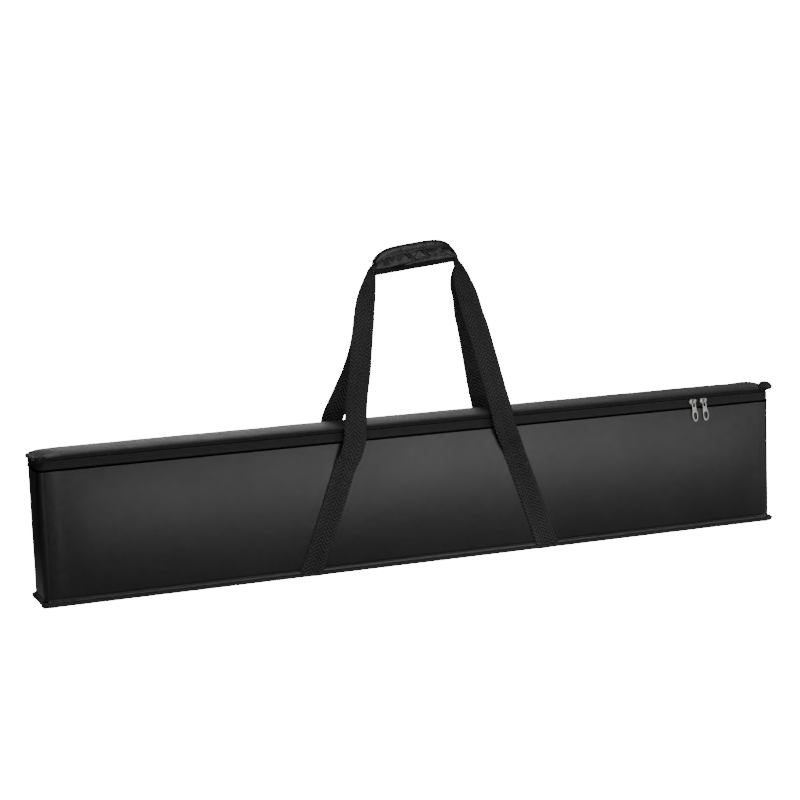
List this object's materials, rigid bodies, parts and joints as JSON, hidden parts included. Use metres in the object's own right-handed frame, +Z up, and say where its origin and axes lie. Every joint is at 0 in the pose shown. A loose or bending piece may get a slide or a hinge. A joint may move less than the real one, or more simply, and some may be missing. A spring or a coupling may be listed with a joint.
{
  "type": "long carrying case",
  "caption": "Long flat-sided zip-round carrying case for drawing gear: stiffened fabric walls, hinged lid, webbing loops front and back that meet in a padded wrap handle.",
  "frame": {"origin": "middle of the case's underside, where it rests", "axes": "+Z up, +X along the case towards the parked zip sliders, front wall faces -Y"},
  "size_m": [1.105, 0.0928, 0.4506],
  "materials": {
    "coated_cloth": "satin woven, coated back",
    "lid_cloth": "satin woven, coated back",
    "binding_tape": "matt ribbed tape",
    "webbing": "matt herringbone webbing",
    "wrap_cloth": "matt padded cloth",
    "lining_cloth": "matt",
    "zip_tape": "matt woven tape",
    "zip_coil": "satin nylon",
    "stiffener": "matt sheet",
    "piping": "matt",
    "thread": "matt",
    "hook_and_loop": "matt pile",
    "plated_metal": "polished nickel plate"
  },
  "bodies": {
    "case": {"bottom_cover": "coated_cloth", "bottom_binding": "binding_tape", "bottom_board": "stiffener", "outer_wrap": "coated_cloth", "front_board": "stiffener", "back_board": "stiffener", "left_end_board": "stiffener", "right_end_board": "stiffener", "lining": "lining_cloth", "rim_piping": "piping", "body_zip_tape": "zip_tape", "body_zip_coil": "zip_coil", "hinge_band": "binding_tape", "hinge_cord": "piping", "zip_end_tabs": "coated_cloth", "front_left_webbing": "webbing", "front_right_webbing": "webbing", "back_left_webbing": "webbing", "back_right_webbing": "webbing", "webbing_tacks": "thread"},
    "lid": {"lid_zip_coil": "zip_coil", "lid_zip_tape": "zip_tape", "lid_hinge_band": "binding_tape", "lid_lining": "lining_cloth", "lid_board": "stiffener", "lid_cover": "lid_cloth", "lid_binding": "binding_tape"},
    "front_loop": {"front_left_leg": "webbing", "front_right_leg": "webbing", "front_wrap": "wrap_cloth", "front_grip_webbing": "webbing", "hook_strip": "hook_and_loop"},
    "back_loop": {"back_left_leg": "webbing", "back_right_leg": "webbing", "back_wrap": "wrap_cloth", "back_grip_webbing": "webbing", "loop_strip": "hook_and_loop"},
    "left_slider": {"left_slider": "plated_metal", "left_bridge": "plated_metal"},
    "left_pull": {"left_pull": "plated_metal"},
    "right_slider": {"right_slider": "plated_metal", "right_bridge": "plated_metal"},
    "right_pull": {"right_pull": "plated_metal"}
  },
  "joints": [
    {"name": "lid_open", "type": "hinge", "parent": "case", "child": "lid", "pos_m": [0, 0.0374, 0.193], "axis": [-1, 0, 0], "range_deg": [0, 110]},
    {"name": "front_loop_swing", "type": "hinge", "parent": "case", "child": "front_loop", "pos_m": [0, -0.041, 0.1508], "axis": [1, 0, 0], "range_deg": [0, 120]},
    {"name": "back_loop_swing", "type": "hinge", "parent": "case", "child": "back_loop", "pos_m": [0, 0.041, 0.1508], "axis": [-1, 0, 0], "range_deg": [0, 120]},
    {"name": "left_slider_run", "type": "slide", "parent": "case", "child": "left_slider", "axis": [1, 0, 0], "range_m": [-0.947, 0]},
    {"name": "right_slider_run", "type": "slide", "parent": "case", "child": "right_slider", "axis": [1, 0, 0], "range_m": [0, 0.0905]},
    {"name": "left_pull_swing", "type": "hinge", "parent": "left_slider", "child": "left_pull", "pos_m": [0.4198, -0.0405, 0.1905], "axis": [-1, 0, 0], "range_deg": [0, 150]},
    {"name": "right_pull_swing", "type": "hinge", "parent": "right_slider", "child": "right_pull", "pos_m": [0.4373, -0.0405, 0.1905], "axis": [-1, 0, 0], "range_deg": [0, 150]}
  ],
  "couplings": [
    {"joint": "front_loop_swing", "follows": "lid_open", "ratio": 1.09},
    {"joint": "back_loop_swing", "follows": "lid_open", "ratio": 1.09}
  ]
}
